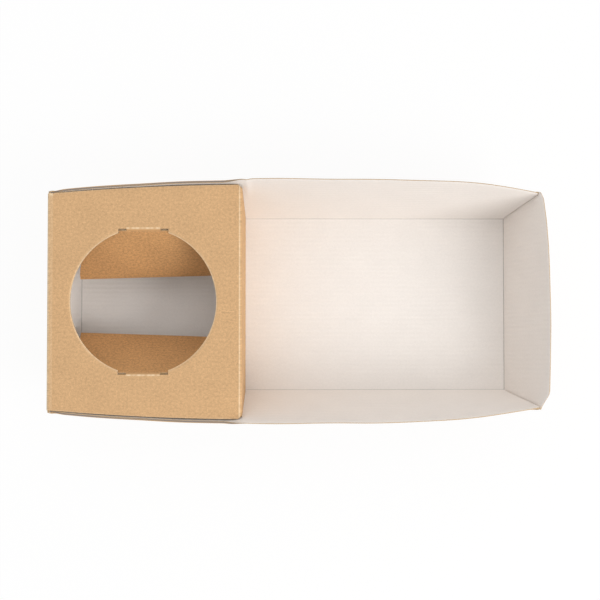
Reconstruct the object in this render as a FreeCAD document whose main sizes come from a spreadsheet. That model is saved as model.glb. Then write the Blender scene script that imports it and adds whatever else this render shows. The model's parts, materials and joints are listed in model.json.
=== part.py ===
import FreeCAD, Part
import math
import os

import Sketcher

# A snack tray with a cup holder, die-cut and folded from one sheet of fine corrugated board.
# Millimetres, +Z up. The origin is under the middle of the tray, on the surface it stands on.
# +X runs along the tray towards the open end, away from the cup.

SIZES = (
    # The sheet and the floor
    ("board", 1.2),
    ("floor_length", 219.8),
    ("floor_width", 88.6),
    # The walls lean out by these slopes, and the long ones bow out in the middle
    ("left_slope", 0.192),
    ("right_slope", 0.313),
    ("side_slope_ends", 0.21),
    ("side_slope_middle", 0.30),
    # The rim of the long walls: level along the food compartment, lower beside the cup bay,
    # and falling in an arc to the right end
    ("rim_height", 49.0),
    ("rim_level_left", 22.0),
    ("rim_level_right", 14.0),
    ("bay_rim_height", 45.6),
    ("bay_rim_ramp", 12.0),
    ("rim_left_height", 44.9),
    ("rim_right_height", 37.0),
    # The arch of the right end wall, with a full front shoulder and a long rear slope
    ("arch_height", 47.8),
    ("arch_crown_offset", 12.0),
    ("arch_rear_reach", 50.0),
    ("arch_rear_height", 39.7),
    ("arch_front_reach", 41.0),
    ("arch_front_height", 46.2),
    ("arch_corner_reach", 50.9),
    ("arch_corner_height", 38.8),
    ("arch_corner_radius", 12.2),
    # The glue tabs that the end walls fold round onto the outside of the long walls
    ("tab_length", 24.0),
    ("tab_bottom", 1.6),
    ("tab_taper", 4.0),
    ("left_tab_top", 41.0),
    ("right_tab_top", 34.0),
    # The deck over the cup bay
    ("deck_height", 45.0),
    ("deck_length", 94.0),
    ("deck_left_gap", 1.1),
    ("fold_gap", 0.5),
    ("edge_gap", 0.3),
    # The cup hole and its two flaps
    ("hole_offset", 46.5),
    ("hole_radius", 35.6),
    ("flap_hinge_width", 24.3),
    ("flap_neck", 2.0375),
    ("rear_flap_droop", 51.0),
    ("front_flap_droop", 57.0),
    # The divider
    ("divider_clearance", 0.3),
    ("divider_corner_clip", 1.6),
)

doc = FreeCAD.newDocument("CardboardTray")
sheet = doc.addObject("Spreadsheet::Sheet", "Sizes")
for row, (alias, value) in enumerate(SIZES, start=1):
    sheet.set(f"A{row}", alias)
    sheet.set(f"B{row}", str(value))
    sheet.setAlias(f"B{row}", alias)
doc.recompute()


def size(alias):
    return f"Sizes.{alias}"


def value_of(formula):
    return float(sheet.evalExpression(formula))


# Formulas that several pieces share
BOARD = size("board")
HALF_LENGTH = f"{size('floor_length')} / 2"
HALF_WIDTH = f"{size('floor_width')} / 2"
HALF_BOARD = f"{BOARD} / 2"
LEVEL = f"({size('rim_height')} + {BOARD})"
LEFT_THICKNESS = f"{BOARD} * sqrt(1 + {size('left_slope')} ^ 2)"
RIGHT_THICKNESS = f"{BOARD} * sqrt(1 + {size('right_slope')} ^ 2)"
SIDE_THICKNESS = f"{BOARD} * sqrt(1 + {size('side_slope_middle')} ^ 2)"
CREASE_Z = f"({size('deck_height')} - {HALF_BOARD})"
LEFT_CREASE_X = f"(-{HALF_LENGTH} - {size('left_slope')} * {CREASE_Z} - {LEFT_THICKNESS} / 2)"
RIGHT_CREASE_X = f"({LEFT_CREASE_X} + {size('deck_length')})"
HOLE_X = f"({LEFT_CREASE_X} + {size('hole_offset')})"
RIGHT_END_X = f"({HALF_LENGTH} + {size('right_slope')} * {size('arch_height')} + {RIGHT_THICKNESS})"
SHIFT = f"-({RIGHT_END_X} + {LEFT_CREASE_X} - {HALF_BOARD}) / 2"
CLEAR = f"({HALF_BOARD} + {size('fold_gap')})"

# The bow of the long walls, drawn as one arc at the level just above their rims
BAND_LEFT = f"(-{HALF_LENGTH} - {LEFT_THICKNESS} / 2)"
BAND_RIGHT = f"({HALF_LENGTH} + {RIGHT_THICKNESS} / 2)"
BOW_LEFT = f"({BAND_LEFT} - {size('left_slope')} * {LEVEL})"
BOW_RIGHT = f"({BAND_RIGHT} + {size('right_slope')} * {LEVEL})"
BOW_REACH = f"({HALF_WIDTH} + {size('side_slope_ends')} * {LEVEL})"
BOW_RISE = f"(({size('side_slope_middle')} - {size('side_slope_ends')}) * {LEVEL})"


def arc_radius(half_chord, rise):
    return f"((({half_chord}) ^ 2 + ({rise}) ^ 2) / (2 * ({rise})))"


BOW_RADIUS = arc_radius(f"({BOW_RIGHT} - {BOW_LEFT}) / 2", BOW_RISE)


def wall_reach(x, z):
    """How far a long wall's inner face is from the middle of the tray at x and z."""
    across = f"(({x}) - ({BOW_LEFT} + {BOW_RIGHT}) / 2)"
    bowed = f"({BOW_REACH} + {BOW_RISE} - {BOW_RADIUS} + sqrt({BOW_RADIUS} ^ 2 - {across} ^ 2))"
    return f"({HALF_WIDTH} + ({bowed} - {HALF_WIDTH}) * ({z}) / {LEVEL})"


# A flap's crease joins the ends of two straight cuts that leave the round hole side by side
HINGE_HALF = f"({size('flap_hinge_width')} / 2)"
HINGE_REACH = f"(sqrt({size('hole_radius')} ^ 2 - {HINGE_HALF} ^ 2) + {size('flap_neck')})"

DECK_UNDERSIDE = f"({CREASE_Z} - {HALF_BOARD})"
DECK_RIGHT_HALF = f"({wall_reach(RIGHT_CREASE_X, DECK_UNDERSIDE)} - {size('edge_gap')})"
DECK_LEFT_HALF = f"({wall_reach(LEFT_CREASE_X, DECK_UNDERSIDE)} - {size('deck_left_gap')})"


def origin_plane(body, role):
    return next(item for item in body.Origin.OriginFeatures if item.Role == role)


def new_sketch(body, name, role, height=None):
    """A sketch on one of the body's own planes, at a height above it."""
    sketch = body.newObject("Sketcher::SketchObject", name)
    sketch.AttachmentSupport = [(origin_plane(body, role), "")]
    sketch.MapMode = "FlatFace"
    if height is not None:
        sketch.setExpression("AttachmentOffset.Base.z", height)
    return sketch


def arc_centre(start, end, radius, side):
    """The centre of an arc from start to end: on the left of that line for side 1, on the right for -1."""
    chord = end - start
    across = FreeCAD.Vector(-chord.y, chord.x, 0).normalize()
    reach = math.sqrt(max(radius ** 2 - (chord.Length / 2) ** 2, 0))
    return (start + end) / 2 + across * reach * side


def draw_outline(sketch, corners):
    """A closed outline. Each corner is (x, y) or (x, y, radius, side of the arc to the next corner)."""
    points = [FreeCAD.Vector(value_of(corner[0]), value_of(corner[1]), 0) for corner in corners]
    edges = []
    for index, corner in enumerate(corners):
        start = points[index]
        end = points[(index + 1) % len(points)]
        if len(corner) == 2:
            edge = sketch.addGeometry(Part.LineSegment(start, end))
            edges.append((edge, 1, 2))
            continue
        radius = value_of(corner[2])
        centre = arc_centre(start, end, radius, corner[3])
        angles = [math.atan2(point.y - centre.y, point.x - centre.x) for point in (start, end)]
        forward = corner[3] > 0
        first, last = angles if forward else reversed(angles)
        flat = Part.Circle(centre, FreeCAD.Vector(0, 0, 1), radius)
        edge = sketch.addGeometry(Part.ArcOfCircle(flat, first, last))
        edges.append((edge, 1, 2) if forward else (edge, 2, 1))
    for index, (edge, start, end) in enumerate(edges):
        following, next_start, _ = edges[(index + 1) % len(edges)]
        sketch.addConstraint(Sketcher.Constraint("Coincident", edge, end, following, next_start))
        for kind, formula, reach in (
            ("DistanceX", corners[index][0], points[index].x),
            ("DistanceY", corners[index][1], points[index].y),
        ):
            number = sketch.addConstraint(Sketcher.Constraint(kind, -1, 1, edge, start, reach))
            sketch.setExpression(f"Constraints[{number}]", formula)
        if len(corners[index]) > 2:
            radius = value_of(corners[index][2])
            number = sketch.addConstraint(Sketcher.Constraint("Radius", edge, radius))
            sketch.setExpression(f"Constraints[{number}]", corners[index][2])


def draw_circle(sketch, x, y, radius):
    centre = FreeCAD.Vector(value_of(x), value_of(y), 0)
    reach = value_of(radius)
    edge = sketch.addGeometry(Part.Circle(centre, FreeCAD.Vector(0, 0, 1), reach))
    number = sketch.addConstraint(Sketcher.Constraint("Radius", edge, reach))
    sketch.setExpression(f"Constraints[{number}]", radius)
    for kind, formula, place in (("DistanceX", x, centre.x), ("DistanceY", y, centre.y)):
        number = sketch.addConstraint(Sketcher.Constraint(kind, -1, 1, edge, 3, place))
        sketch.setExpression(f"Constraints[{number}]", formula)


def rectangle(left, right, low, high):
    return [(left, low), (right, low), (right, high), (left, high)]


def pad(body, name, sketch, length, middle=False):
    feature = body.newObject("PartDesign::Pad", name)
    feature.Profile = sketch
    feature.setExpression("Length", length)
    if middle:
        feature.SideType = "Symmetric"
    return feature


def pocket_through(body, name, sketch):
    feature = body.newObject("PartDesign::Pocket", name)
    feature.Profile = sketch
    feature.SideType = "Symmetric"
    feature.Type = "ThroughAll"
    return feature


def loft(body, name, lower, upper):
    feature = body.newObject("PartDesign::AdditiveLoft", name)
    feature.Profile = lower
    feature.Sections = [upper]
    feature.Ruled = True
    return feature


def new_body(name):
    return doc.addObject("PartDesign::Body", name)


def long_band(body, name, inner, outer):
    """A board that stands along the rear side: straight at the floor, bowed at the rim level."""
    foot = new_sketch(body, f"{name}_foot", "XY_Plane")
    draw_outline(foot, rectangle(BAND_LEFT, BAND_RIGHT, f"{HALF_WIDTH} + {inner}", f"{HALF_WIDTH} + {outer}"))
    rim = new_sketch(body, f"{name}_rim", "XY_Plane", LEVEL)
    draw_outline(rim, [
        (BOW_LEFT, f"{BOW_REACH} + {inner}", BOW_RADIUS, -1),
        (BOW_RIGHT, f"{BOW_REACH} + {inner}"),
        (BOW_RIGHT, f"{BOW_REACH} + {outer}", BOW_RADIUS, 1),
        (BOW_LEFT, f"{BOW_REACH} + {outer}"),
    ])
    return loft(body, name, foot, rim)


def floor_and_long_walls():
    """The floor with the rear wall, its mirror image in front, and the rims cut to their curve."""
    body = new_body("floor_and_long_walls")
    floor = new_sketch(body, "floor_outline", "XY_Plane")
    across = f"({HALF_WIDTH} + {SIDE_THICKNESS} / 2)"
    draw_outline(floor, rectangle(BAND_LEFT, BAND_RIGHT, f"-{across}", across))
    pad(body, "floor", floor, BOARD)
    doc.recompute()
    rear = long_band(body, "rear_wall", "0", SIDE_THICKNESS)
    doc.recompute()
    front = body.newObject("PartDesign::Mirrored", "front_wall")
    front.Originals = [rear]
    front.MirrorPlane = (origin_plane(body, "XZ_Plane"), [""])
    body.Tip = front
    doc.recompute()
    above = new_sketch(body, "above_the_rims", "XZ_Plane")
    margin = size("tab_length")
    top = f"{LEVEL} + {margin}"
    rim = size("rim_height")
    left_x = f"(-{HALF_LENGTH} - {size('left_slope')} * {size('rim_left_height')})"
    right_x = f"({HALF_LENGTH} + {size('right_slope')} * {size('rim_right_height')})"
    right_drop = f"({rim} - {size('rim_right_height')})"
    right_radius = arc_radius(f"{right_x} - {size('rim_level_right')}", right_drop)
    draw_outline(above, [
        (f"{left_x} - {margin}", top),
        (f"{left_x} - {margin}", size("rim_left_height")),
        (left_x, size("rim_left_height")),
        (f"-{size('rim_level_left')} - {size('bay_rim_ramp')}", size("bay_rim_height")),
        (f"-{size('rim_level_left')}", rim),
        (size("rim_level_right"), rim, right_radius, -1),
        (right_x, size("rim_right_height")),
        (f"{right_x} + {margin}", size("rim_right_height")),
        (f"{right_x} + {margin}", top),
    ])
    pocket_through(body, "rim_cut", above)
    doc.recompute()
    return body


def right_end_wall():
    """The right end wall stands between the outer faces of the long walls, under its arch."""
    body = new_body("right_end_wall")
    across = f"({HALF_WIDTH} + {SIDE_THICKNESS})"
    foot = new_sketch(body, "right_end_foot", "XY_Plane")
    outer = f"({HALF_LENGTH} + {RIGHT_THICKNESS})"
    draw_outline(foot, rectangle(HALF_LENGTH, outer, f"-{across}", across))
    rim = new_sketch(body, "right_end_rim", "XY_Plane", LEVEL)
    lean = f"{size('right_slope')} * {LEVEL}"
    across_rim = f"({across} + {size('side_slope_ends')} * {LEVEL})"
    draw_outline(rim, rectangle(f"{HALF_LENGTH} + {lean}", f"{outer} + {lean}", f"-{across_rim}", across_rim))
    loft(body, "right_end_board", foot, rim)
    doc.recompute()
    above = new_sketch(body, "above_the_arch", "YZ_Plane")
    crown = size("arch_height")
    crown_y = f"-{size('arch_crown_offset')}"
    rear = size("arch_rear_reach")
    corner_y = f"{HALF_WIDTH} + {size('side_slope_ends')} * {size('rim_right_height')}"
    corner_z = size("rim_right_height")
    side = f"({HALF_WIDTH} + {LEVEL})"
    rear_radius = arc_radius(f"{rear} + {size('arch_crown_offset')}", f"{crown} - {size('arch_rear_height')}")
    front_radius = arc_radius(
        f"{size('arch_front_reach')} - {size('arch_crown_offset')}",
        f"{crown} - {size('arch_front_height')}",
    )
    draw_outline(above, [
        (f"-{side}", f"{LEVEL} + {BOARD}"),
        (f"-{side}", corner_z),
        (f"-({corner_y})", corner_z),
        (f"-{size('arch_corner_reach')}", size("arch_corner_height"), size("arch_corner_radius"), -1),
        (f"-{size('arch_front_reach')}", size("arch_front_height"), front_radius, -1),
        (crown_y, crown, rear_radius, -1),
        (rear, size("arch_rear_height")),
        (corner_y, corner_z),
        (side, corner_z),
        (side, f"{LEVEL} + {BOARD}"),
    ])
    pocket_through(body, "arch_cut", above)
    doc.recompute()
    return body


def left_end_wall():
    """The left end wall stops at the deck's crease, where its top edge is a full round."""
    body = new_body("left_end_wall")
    profile = new_sketch(body, "left_end_profile", "XZ_Plane")
    slope = size("left_slope")
    run = f"({HALF_BOARD} / sqrt(1 + {slope} ^ 2))"
    draw_outline(profile, [
        (f"-{HALF_LENGTH}", "0"),
        (f"{LEFT_CREASE_X} + {run}", f"{CREASE_Z} + {slope} * {run}", HALF_BOARD, 1),
        (f"{LEFT_CREASE_X} - {slope} * {run}", f"{CREASE_Z} + {run}", HALF_BOARD, 1),
        (f"{LEFT_CREASE_X} - {run}", f"{CREASE_Z} - {slope} * {run}"),
        (f"-{HALF_LENGTH} - {LEFT_THICKNESS}", "0"),
    ])
    across = f"({HALF_WIDTH} + {SIDE_THICKNESS})"
    across_rim = f"({across} + {size('side_slope_ends')} * {LEVEL})"
    pad(body, "left_end_board", profile, f"2 * {across_rim}", middle=True)
    doc.recompute()
    for name, side in (("rear", "1"), ("front", "-1")):
        beside = new_sketch(body, f"beside_the_{name}_corner", "YZ_Plane")
        draw_outline(beside, [
            (f"({side}) * {across}", "0"),
            (f"({side}) * {across_rim}", LEVEL),
            (f"({side}) * ({across_rim} + {LEVEL})", LEVEL),
            (f"({side}) * ({across_rim} + {LEVEL})", "0"),
        ])
        pocket_through(body, f"{name}_corner_cut", beside)
        doc.recompute()
    return body


def glue_tabs():
    """Two tabs at each end, on the outside of the long walls, as rear pair and front pair."""
    layer = new_body("tab_layer")
    long_band(layer, "tab_sheet", f"{SIDE_THICKNESS} / 2", f"2 * {SIDE_THICKNESS}")
    doc.recompute()
    mirrored = doc.addObject("Part::Mirroring", "front_tab_layer")
    mirrored.Source = layer
    mirrored.Normal = FreeCAD.Vector(0, 1, 0)
    tabs = []
    for name, direction, slope, thickness, top in (
        ("left", "-1", size("left_slope"), LEFT_THICKNESS, size("left_tab_top")),
        ("right", "1", size("right_slope"), RIGHT_THICKNESS, size("right_tab_top")),
    ):
        blank = new_body(f"{name}_tab_blank")
        outline = new_sketch(blank, f"{name}_tab_outline", "XZ_Plane")
        low = size("tab_bottom")
        edge = f"({HALF_LENGTH} + {thickness} / 2 + {slope} * "
        bottom_edge = f"{edge}{low})"
        top_edge = f"{edge}{top})"
        draw_outline(outline, [
            (f"({direction}) * {bottom_edge}", low),
            (f"({direction}) * {top_edge}", top),
            (f"({direction}) * ({top_edge} - {size('tab_length')})", f"{top} - {size('tab_taper')}"),
            (f"({direction}) * ({bottom_edge} - {size('tab_length')})", f"{low} + {size('tab_taper')}"),
        ])
        pad(blank, f"{name}_tab_prism", outline, f"2 * {size('floor_width')}", middle=True)
        doc.recompute()
        for side, sheet_of_side in (("rear", layer), ("front", mirrored)):
            tab = doc.addObject("Part::Common", f"{side}_{name}_tab")
            tab.Base = sheet_of_side
            tab.Tool = blank
            tabs.append(tab)
    doc.recompute()
    return tabs


def tray():
    node = doc.addObject("Part::MultiFuse", "tray")
    node.Shapes = [floor_and_long_walls(), left_end_wall(), right_end_wall()] + glue_tabs()
    node.Refine = True
    node.setExpression("Placement.Base.x", SHIFT)
    doc.recompute()
    return node


def notch(body, name, side):
    """The short straight cuts beside a flap's crease, open to the round hole."""
    outline = new_sketch(body, name, "XY_Plane", DECK_UNDERSIDE)
    half = f"({HINGE_HALF} + {size('edge_gap')})"
    draw_outline(outline, rectangle(
        f"{HOLE_X} - {half}",
        f"{HOLE_X} + {half}",
        f"({side}) * ({HINGE_REACH} - {size('flap_neck')} - {HALF_BOARD})",
        f"({side}) * {HINGE_REACH}",
    ))
    pocket_through(body, f"{name}_cut", outline)


def cup_deck():
    body = new_body("cup_deck")
    outline = new_sketch(body, "deck_outline", "XY_Plane", DECK_UNDERSIDE)
    left = f"({LEFT_CREASE_X} + {CLEAR})"
    draw_outline(outline, [
        (left, f"-{DECK_LEFT_HALF}"),
        (RIGHT_CREASE_X, f"-{DECK_RIGHT_HALF}"),
        (RIGHT_CREASE_X, DECK_RIGHT_HALF),
        (left, DECK_LEFT_HALF),
    ])
    pad(body, "deck_board", outline, BOARD)
    doc.recompute()
    hole = new_sketch(body, "cup_hole", "XY_Plane", DECK_UNDERSIDE)
    draw_circle(hole, HOLE_X, "0", size("hole_radius"))
    pocket_through(body, "cup_hole_cut", hole)
    doc.recompute()
    notch(body, "rear_notch", "1")
    doc.recompute()
    notch(body, "front_notch", "-1")
    doc.recompute()
    edge = new_sketch(body, "right_crease_round", "XZ_Plane")
    draw_circle(edge, RIGHT_CREASE_X, CREASE_Z, HALF_BOARD)
    reach = f"2 * ({DECK_RIGHT_HALF} - {size('divider_corner_clip')})"
    pad(body, "right_crease_bead", edge, reach, middle=True)
    doc.recompute()
    for name, side in (("rear", "1"), ("front", "-1")):
        edge = new_sketch(body, f"{name}_flap_crease_round", "YZ_Plane", HOLE_X)
        draw_circle(edge, f"({side}) * {HINGE_REACH}", CREASE_Z, HALF_BOARD)
        pad(body, f"{name}_flap_crease_bead", edge, size("flap_hinge_width"), middle=True)
        doc.recompute()
    body.setExpression("Placement.Base.x", SHIFT)
    return body


def divider():
    """The panel that hangs from the deck's right crease down to the floor."""
    body = new_body("divider")
    outline = new_sketch(body, "divider_outline", "YZ_Plane")
    top = f"-{CLEAR}"
    foot_height = f"({BOARD} + {size('divider_clearance')})"
    foot = f"({foot_height} - {CREASE_Z})"
    clip = size("divider_corner_clip")
    shoulder = f"({CREASE_Z} - {CLEAR} - {clip})"
    top_half = f"({wall_reach(RIGHT_CREASE_X, shoulder)} - {size('edge_gap')})"
    foot_half = f"({wall_reach(RIGHT_CREASE_X, foot_height)} - {size('edge_gap')})"
    draw_outline(outline, [
        (f"-({foot_half})", foot),
        (foot_half, foot),
        (top_half, f"{top} - {clip}"),
        (f"{top_half} - {clip}", top),
        (f"{clip} - {top_half}", top),
        (f"-{top_half}", f"{top} - {clip}"),
    ])
    pad(body, "divider_board", outline, BOARD, middle=True)
    doc.recompute()
    body.setExpression("Placement.Base.x", f"{RIGHT_CREASE_X} + {SHIFT}")
    body.setExpression("Placement.Base.z", CREASE_Z)
    return body


def cup_flap(name, side, droop):
    """A half-round flap on its crease, which is the body's own X axis, pressed down by its droop."""
    body = new_body(name)
    outline = new_sketch(body, f"{name}_outline", "XY_Plane")
    radius = f"({size('hole_radius')} - {size('edge_gap')})"
    neck = f"({HINGE_REACH} - sqrt({radius} ^ 2 - {HINGE_HALF} ^ 2))"
    tip = f"({HINGE_REACH} - {size('edge_gap')})"
    tip_half = f"sqrt({radius} ^ 2 - {size('edge_gap')} ^ 2)"
    turn = -side
    draw_outline(outline, [
        (f"-{HINGE_HALF}", f"({turn}) * {CLEAR}"),
        (HINGE_HALF, f"({turn}) * {CLEAR}"),
        (HINGE_HALF, f"({turn}) * {neck}", radius, turn),
        (tip_half, f"({turn}) * {tip}"),
        (f"-{tip_half}", f"({turn}) * {tip}", radius, turn),
        (f"-{HINGE_HALF}", f"({turn}) * {neck}"),
    ])
    pad(body, f"{name}_board", outline, BOARD, middle=True)
    doc.recompute()
    body.Placement.Rotation = FreeCAD.Rotation(FreeCAD.Vector(side, 0, 0), value_of(droop))
    body.setExpression("Placement.Rotation.Angle", droop)
    body.setExpression("Placement.Base.x", f"{HOLE_X} + {SHIFT}")
    body.setExpression("Placement.Base.y", f"({side}) * {HINGE_REACH}")
    body.setExpression("Placement.Base.z", CREASE_Z)
    return body


def check_and_write(nodes):
    doc.recompute()
    for item in doc.Objects:
        if "Invalid" in item.State or "Error" in item.State:
            raise RuntimeError(f"{item.Label} failed: {item.State}")
    os.makedirs("parts", exist_ok=True)
    for node in nodes:
        shape = node.Shape
        if shape.isNull() or not shape.isValid() or len(shape.Solids) != 1:
            raise RuntimeError(f"{node.Label} has no single valid solid")
        box = shape.optimalBoundingBox(False)
        print(node.Label, round(shape.Volume, 1), [round(v, 2) for v in (
            box.XMin, box.XMax, box.YMin, box.YMax, box.ZMin, box.ZMax)])
        shape.exportStep(f"parts/{node.Label}.step")


check_and_write([
    tray(),
    cup_deck(),
    divider(),
    cup_flap("rear_cup_flap", 1, size("rear_flap_droop")),
    cup_flap("front_cup_flap", -1, size("front_flap_droop")),
])
print("creases", [round(value_of(f), 3) for f in (
    f"{LEFT_CREASE_X} + {SHIFT}", f"{RIGHT_CREASE_X} + {SHIFT}", f"{HOLE_X} + {SHIFT}", CREASE_Z)])
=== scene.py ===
import json
import math

import bpy
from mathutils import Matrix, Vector


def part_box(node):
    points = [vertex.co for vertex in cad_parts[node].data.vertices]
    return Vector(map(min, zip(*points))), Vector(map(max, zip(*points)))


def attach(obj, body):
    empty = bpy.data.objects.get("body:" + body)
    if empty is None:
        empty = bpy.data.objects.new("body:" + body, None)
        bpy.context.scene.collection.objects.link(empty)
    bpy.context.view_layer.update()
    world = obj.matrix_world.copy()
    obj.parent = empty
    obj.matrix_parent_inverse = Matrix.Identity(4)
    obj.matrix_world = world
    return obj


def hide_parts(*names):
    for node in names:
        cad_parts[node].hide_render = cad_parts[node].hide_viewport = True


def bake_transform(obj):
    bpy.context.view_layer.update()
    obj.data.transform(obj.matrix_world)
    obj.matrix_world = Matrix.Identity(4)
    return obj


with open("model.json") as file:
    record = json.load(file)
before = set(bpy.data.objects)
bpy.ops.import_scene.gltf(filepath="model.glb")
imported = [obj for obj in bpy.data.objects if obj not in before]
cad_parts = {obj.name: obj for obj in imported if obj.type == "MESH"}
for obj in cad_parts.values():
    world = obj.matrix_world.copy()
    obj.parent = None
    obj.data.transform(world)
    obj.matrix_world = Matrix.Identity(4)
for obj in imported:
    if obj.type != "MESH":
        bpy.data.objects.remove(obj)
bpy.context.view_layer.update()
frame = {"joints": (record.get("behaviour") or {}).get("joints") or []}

bl_info = {
    "name": "Cardboard tray with cup holder",
    "version": (1, 0, 0),
    "blender": (4, 5, 0),
    "location": "View3D > Sidebar > Tray",
    "description": "Folds a corrugated snack tray with a deck, a cup hole and a divider",
    "category": "Add Mesh",
}

MM = 0.001
joint_at = {joint["name"]: Vector(joint["pos_m"]) for joint in frame["joints"]}
LEFT_CREASE = joint_at["deck_fold"]
RIGHT_CREASE = joint_at["divider_fold"]
REAR_CREASE = joint_at["rear_flap_fold"]
FRONT_CREASE = joint_at["front_flap_fold"]
TRAY_HIGH = Vector(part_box("tray")[1])
DECK_LOW = Vector(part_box("cup_deck")[0])
DIVIDER_LOW = Vector(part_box("divider")[0])

# Material slots of a board, whose liner is slot 0, and the attributes that its materials read
KRAFT, CUT_EDGE = 1, 2
BLANK = "blank"
# The attribute below carries pale fibres at cut edges and folds together with painted shade (liner creases,
# cup flaps) and painted highlight (fold crests)
WEAR_AND_PAINTED_LIGHT = "wear_and_painted_light"
FULL = "full_thickness"


def length(name, description, millimetres):
    return bpy.props.FloatProperty(name=name, description=description, default=millimetres * MM,
                                   unit="LENGTH", precision=5)


def slope(name, description, default):
    return bpy.props.FloatProperty(name=name, description=description, default=default)


def colour(name, description, default):
    return bpy.props.FloatVectorProperty(name=name, description=description, default=default,
                                         subtype="COLOR", min=0, max=1)


class TraySizes(bpy.types.PropertyGroup):
    board: length("Board", "Thickness of the corrugated board", 1.2)
    flute: length("Flute pitch", "Distance from one flute to the next", 2.4)
    fold_radius: length("Fold radius", "Inside radius of a creased fold", 0.35)
    floor_left: length("Floor left", "Where the left wall's inner face meets the table", -113.14)
    floor_right: length("Floor right", "Where the right wall's inner face meets the table", 106.66)
    floor_half: length("Floor half width", "Where a long wall's inner face meets the table", 44.3)
    left_slope: slope("Left slope", "Lean of the left end wall", 0.192)
    right_slope: slope("Right slope", "Lean of the right end wall", 0.313)
    end_slope: slope("Side slope at the ends", "Lean of the long walls at the corners", 0.21)
    middle_slope: slope("Side slope in the middle", "Lean of the long walls halfway along", 0.30)
    rim_left: length("Left corner height", "Height of the long rims at the left corners", 44.9)
    rim_bay: length("Bay rim height", "Height of the long rims beside the cup bay", 45.6)
    bay_ramp: length("Bay ramp", "Length over which the long rims fall beside the cup bay", 12.0)
    rim_right: length("Right corner height", "Height of the long rims at the right corners", 38.4)
    level_left: length("Level rim, left end", "Where the long rims start to fall to the left", -25.24)
    level_right: length("Level rim, right end", "Where the long rims start to fall to the right", 10.76)
    crushed: slope("Crushed edge", "Share of the board's thickness that is left at a die-cut edge", 0.42)
    crush_depth: length("Crush depth", "How far from a die-cut edge the board is crushed", 0.9)
    left_clip: length("Left clip", "How far the rims are clipped at the left corners", 1.8)
    skew: slope("Skew", "Lean of the right end towards the rear", 0.024)
    bay_push: length("Bay push", "How far the long walls stand out beside the cup bay", 0.45)
    front_pull: length("Front pull", "How far the front wall stands in along the food", 0.6)
    seam: length("Corner seam", "Gap between a long wall's end and the end wall", 0.5)
    deck_bow: length("Deck bow", "How far the deck's long edges bow out", 0.95)
    tab: length("Glue tab", "Length of a glue tab along the long wall", 24.0)
    hole_radius: length("Hole radius", "Radius of the cup hole", 35.6)
    hinge_width: length("Flap crease", "Length of a cup flap's crease", 24.3)


class TrayColours(bpy.types.PropertyGroup):
    liner: colour("Liner", "Off-white paper inside the tray", (0.865, 0.82, 0.78))
    kraft: colour("Kraft", "Brown paper outside the tray", (0.625, 0.39, 0.198))
    # Paler kraft: stretched fibres, and on the folds' crests also a painted highlight
    worn_and_painted_light: colour("Worn kraft", "Stretched fibres along folds and edges", (0.80, 0.60, 0.38))
    # Painted shade: a darker, browner copy of the kraft for the cup flaps, which hang in the hole
    shaded: colour("Shaded kraft", "The cup flaps' browner paper", (0.58, 0.275, 0.09))
    hollow: colour("Flute hollow", "Shade between the flutes at a cut edge", (0.25, 0.215, 0.195))
    edge: colour("Cut edge", "Bare flutes at a die-cut edge", (0.50, 0.34, 0.19))
    pressed: colour("Pressed edge", "Both papers pressed together along the rims", (0.50, 0.31, 0.12))
    fuzz: colour("Furred edge", "Pale fibres pulled up by the cutting rule", (0.76, 0.67, 0.55))
    backdrop: colour("Backdrop", "Floor under the tray", (0.92, 0.92, 0.92))


def sizes():
    return bpy.context.scene.tray_sizes


def colours():
    return bpy.context.scene.tray_colours


def deselect_all():
    bpy.ops.object.select_all(action="DESELECT")


def make_active(piece):
    deselect_all()
    piece.select_set(True)
    bpy.context.view_layer.objects.active = piece


def mix(first, second, share):
    return first + (second - first) * share


def smooth(share):
    share = min(max(share, 0.0), 1.0)
    return share * share * (3 - 2 * share)


def rounded(points, radius, steps=6):
    """A 2-D path whose inner corners are arcs of the radius."""
    path = [Vector(points[0])]
    for before, corner, after in zip(points, points[1:], points[2:]):
        corner = Vector(corner)
        back = (Vector(before) - corner).normalized()
        ahead = (Vector(after) - corner).normalized()
        half = back.angle(ahead) / 2
        reach = radius / math.tan(half)
        centre = corner + (back + ahead).normalized() * (radius / math.sin(half))
        start = corner + back * reach - centre
        end = corner + ahead * reach - centre
        turn = start.angle_signed(end)
        for step in range(steps + 1):
            angle = -turn * step / steps
            cos, sin = math.cos(angle), math.sin(angle)
            path.append(centre + Vector((start.x * cos - start.y * sin, start.x * sin + start.y * cos)))
    path.append(Vector(points[-1]))
    return path


def run_lengths(path):
    total, runs = 0.0, [0.0]
    for start, end in zip(path, path[1:]):
        total += (end - start).length
        runs.append(total)
    return runs


def sheet(name, columns, rows, place):
    """A grid whose vertex in column i and row j goes where place(i, j) says.

    place returns the point on the liner, the blank's two flat coordinates, the paler fibres with their
    painted highlight and painted shade, and how full the board's thickness is.
    """
    deselect_all()
    bpy.ops.mesh.primitive_grid_add(x_subdivisions=columns, y_subdivisions=rows, size=1)
    piece = bpy.context.active_object
    piece.name = name
    mesh = piece.data
    cells = [(round((vertex.co.x + 0.5) * columns), round((vertex.co.y + 0.5) * rows))
             for vertex in mesh.vertices]
    placed = [place(i, j) for i, j in cells]
    full = piece.vertex_groups.new(name=FULL)
    for index, values in enumerate(placed):
        full.add([index], values[4], "REPLACE")
    mesh.attributes.new(BLANK, "FLOAT_VECTOR", "POINT")
    mesh.attributes.new(WEAR_AND_PAINTED_LIGHT, "FLOAT", "POINT")
    flat, wear_and_painted_light = mesh.attributes[BLANK], mesh.attributes[WEAR_AND_PAINTED_LIGHT]
    for index, (point, along, across, worn_and_painted_light, _) in enumerate(placed):
        mesh.vertices[index].co = point
        flat.data[index].vector = (along, across, 0)
        wear_and_painted_light.data[index].value = worn_and_painted_light
    return piece


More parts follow.
